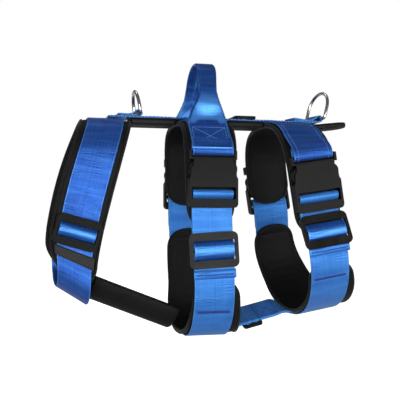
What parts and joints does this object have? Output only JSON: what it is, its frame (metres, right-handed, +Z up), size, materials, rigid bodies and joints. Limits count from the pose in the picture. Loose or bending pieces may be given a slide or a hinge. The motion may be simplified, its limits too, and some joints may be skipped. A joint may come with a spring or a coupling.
{
  "type": "padded dog harness",
  "caption": "Three-strap padded dog lifting harness: neck loop, front and rear girths with side-release buckles, handle and D-rings.",
  "frame": {"origin": "where the harness rests on the dog's back: middle of the underside of the front spine pad, on the mid plane", "axes": "+Z up, +X towards the tail, +Y towards the dog's right; -Z is the outward normal of the back rest face"},
  "size_m": [0.3897, 0.2099, 0.348],
  "materials": {
    "blue_webbing": "satin woven nylon webbing, royal blue",
    "black_padding": "matte black neoprene-backed knitted fabric over foam",
    "black_elastic": "matte ribbed elastic",
    "black_plastic": "moulded acetal, fine satin texture",
    "steel_ring": "polished nickel-plated steel"
  },
  "bodies": {
    "back": {"neck_yoke_pad": "black_padding", "neck_upper_webbing": "blue_webbing", "neck_lower_webbing": "blue_webbing", "neck_keeper": "black_elastic", "chest_pad": "black_padding", "chest_webbing": "blue_webbing", "spine_webbing": "blue_webbing", "spine_pad_front": "black_padding", "spine_pad_rear": "black_padding", "spine_pad_tail": "black_padding", "d_ring_front_loop": "blue_webbing", "d_ring_rear_loop": "blue_webbing", "front_saddle_pad": "black_padding", "front_upper_webbing": "blue_webbing", "rear_saddle_pad": "black_padding", "rear_upper_webbing": "blue_webbing", "handle_tab_left": "blue_webbing", "handle_tab_right": "blue_webbing", "handle_leg_left": "blue_webbing", "handle_leg_right": "blue_webbing", "belly_strap": "blue_webbing", "front_left_plug": "black_plastic", "front_right_plug": "black_plastic", "rear_left_plug": "black_plastic", "rear_right_plug": "black_plastic"},
    "front_lower": {"front_left_socket": "black_plastic", "front_right_socket": "black_plastic", "front_lower_webbing": "blue_webbing", "front_belly_pad": "black_padding"},
    "front_slide": {"front_left_slide": "black_plastic", "front_left_slide_webbing_turn": "blue_webbing"},
    "front_left_prong_a": {"front_left_prong_a": "black_plastic"},
    "front_left_prong_b": {"front_left_prong_b": "black_plastic"},
    "front_right_prong_a": {"front_right_prong_a": "black_plastic"},
    "front_right_prong_b": {"front_right_prong_b": "black_plastic"},
    "rear_lower": {"rear_left_socket": "black_plastic", "rear_right_socket": "black_plastic", "rear_lower_webbing": "blue_webbing", "rear_belly_pad": "black_padding"},
    "rear_slide": {"rear_left_slide": "black_plastic", "rear_left_slide_webbing_turn": "blue_webbing"},
    "rear_left_prong_a": {"rear_left_prong_a": "black_plastic"},
    "rear_left_prong_b": {"rear_left_prong_b": "black_plastic"},
    "rear_right_prong_a": {"rear_right_prong_a": "black_plastic"},
    "rear_right_prong_b": {"rear_right_prong_b": "black_plastic"},
    "handle": {"handle_grip": "blue_webbing"},
    "d_ring_front": {"d_ring_front": "steel_ring"},
    "d_ring_rear": {"d_ring_rear": "steel_ring"},
    "neck_slide": {"neck_left_slide": "black_plastic", "neck_left_slide_webbing_turn": "blue_webbing"},
    "spine_slide": {"spine_slide": "black_plastic"},
    "belly_slide": {"belly_slide": "black_plastic"}
  },
  "joints": [
    {"name": "front_girth_unclip", "type": "slide", "parent": "back", "child": "front_lower", "axis": [0, 0, -1], "range_m": [0, 0.03], "deforming": ["chest_pad", "chest_webbing", "belly_strap"]},
    {"name": "rear_girth_unclip", "type": "slide", "parent": "back", "child": "rear_lower", "axis": [0.1504, 0, -0.9886], "range_m": [0, 0.03], "deforming": ["belly_strap"]},
    {"name": "handle_fold", "type": "hinge", "parent": "back", "child": "handle", "pos_m": [0.059, 0, 0.0029], "axis": [0, 1, 0], "range_deg": [-45, 65], "deforming": ["handle_leg_left", "handle_leg_right"]},
    {"name": "d_ring_front_swing", "type": "hinge", "parent": "back", "child": "d_ring_front", "pos_m": [-0.018, 0, 0.015], "axis": [0, 1, 0], "range_deg": [-68, 80]},
    {"name": "d_ring_rear_swing", "type": "hinge", "parent": "back", "child": "d_ring_rear", "pos_m": [0.221, 0, 0.015], "axis": [-0.1987, 0.9801, 0], "range_deg": [-88, 58]},
    {"name": "neck_slide_adjust", "type": "slide", "parent": "back", "child": "neck_slide", "axis": [0.1766, 0, 0.9843], "range_m": [-0.001, 0.012]},
    {"name": "front_slide_adjust", "type": "slide", "parent": "front_lower", "child": "front_slide", "axis": [0, 0, 1], "range_m": [-0.004, 0.014]},
    {"name": "rear_slide_adjust", "type": "slide", "parent": "rear_lower", "child": "rear_slide", "axis": [-0.1431, 0.3085, 0.9404], "range_m": [-0.008, 0]},
    {"name": "spine_slide_adjust", "type": "slide", "parent": "back", "child": "spine_slide", "axis": [1, 0, 0], "range_m": [-0.008, 0.014]},
    {"name": "belly_slide_adjust", "type": "slide", "parent": "back", "child": "belly_slide", "axis": [0.9726, 0, 0.2325], "range_m": [-0.007, 0.014]},
    {"name": "front_left_squeeze_a", "type": "hinge", "parent": "back", "child": "front_left_prong_a", "pos_m": [0.038, -0.0728, -0.0499], "axis": [0, -1, 0], "range_deg": [0, 6], "stiffness_Nm_per_rad": 0.05},
    {"name": "front_left_squeeze_b", "type": "hinge", "parent": "back", "child": "front_left_prong_b", "pos_m": [0.083, -0.0728, -0.0499], "axis": [0, 1, 0], "range_deg": [0, 6], "stiffness_Nm_per_rad": 0.05},
    {"name": "front_right_squeeze_a", "type": "hinge", "parent": "back", "child": "front_right_prong_a", "pos_m": [0.083, 0.0728, -0.0499], "axis": [0, 1, 0], "range_deg": [0, 6], "stiffness_Nm_per_rad": 0.05},
    {"name": "front_right_squeeze_b", "type": "hinge", "parent": "back", "child": "front_right_prong_b", "pos_m": [0.038, 0.0728, -0.0499], "axis": [0, -1, 0], "range_deg": [0, 6], "stiffness_Nm_per_rad": 0.05},
    {"name": "rear_left_squeeze_a", "type": "hinge", "parent": "back", "child": "rear_left_prong_a", "pos_m": [0.15904, -0.0928, -0.05722], "axis": [0, -1, 0], "range_deg": [0, 6], "stiffness_Nm_per_rad": 0.05},
    {"name": "rear_left_squeeze_b", "type": "hinge", "parent": "back", "child": "rear_left_prong_b", "pos_m": [0.20353, -0.0928, -0.05045], "axis": [0, 1, 0], "range_deg": [0, 6], "stiffness_Nm_per_rad": 0.05},
    {"name": "rear_right_squeeze_a", "type": "hinge", "parent": "back", "child": "rear_right_prong_a", "pos_m": [0.20353, 0.0928, -0.05045], "axis": [0, 1, 0], "range_deg": [0, 6], "stiffness_Nm_per_rad": 0.05},
    {"name": "rear_right_squeeze_b", "type": "hinge", "parent": "back", "child": "rear_right_prong_b", "pos_m": [0.15904, 0.0928, -0.05722], "axis": [0, -1, 0], "range_deg": [0, 6], "stiffness_Nm_per_rad": 0.05}
  ],
  "couplings": [
    {"joint": "front_left_squeeze_b", "follows": "front_left_squeeze_a", "ratio": 1},
    {"joint": "front_right_squeeze_b", "follows": "front_right_squeeze_a", "ratio": 1},
    {"joint": "rear_left_squeeze_b", "follows": "rear_left_squeeze_a", "ratio": 1},
    {"joint": "rear_right_squeeze_b", "follows": "rear_right_squeeze_a", "ratio": 1}
  ]
}
